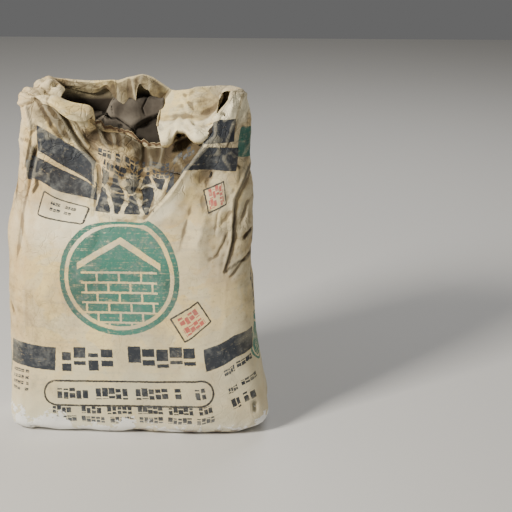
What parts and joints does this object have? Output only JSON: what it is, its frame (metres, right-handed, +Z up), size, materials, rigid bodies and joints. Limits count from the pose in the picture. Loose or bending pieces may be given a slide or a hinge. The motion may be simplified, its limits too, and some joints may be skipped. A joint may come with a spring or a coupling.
{
  "type": "cement bag",
  "caption": "Opened kraft paper cement sack standing on its block bottom, with a torn, folded mouth and caked cement inside.",
  "frame": {"origin": "middle of the bottom, at floor level", "axes": "+Z up, +X along the sack's width towards the viewer's right, the printed front face looks along -Y"},
  "size_m": [0.4742, 0.1686, 0.6417],
  "materials": {
    "kraft_paper": "creased kraft paper with scuffed navy, green and red ink, dusted with cement",
    "cement": "caked grey cement powder, matt"
  },
  "bodies": {
    "root": {"paper_sack": "kraft_paper", "cement_fill": "cement"}
  },
  "joints": []
}
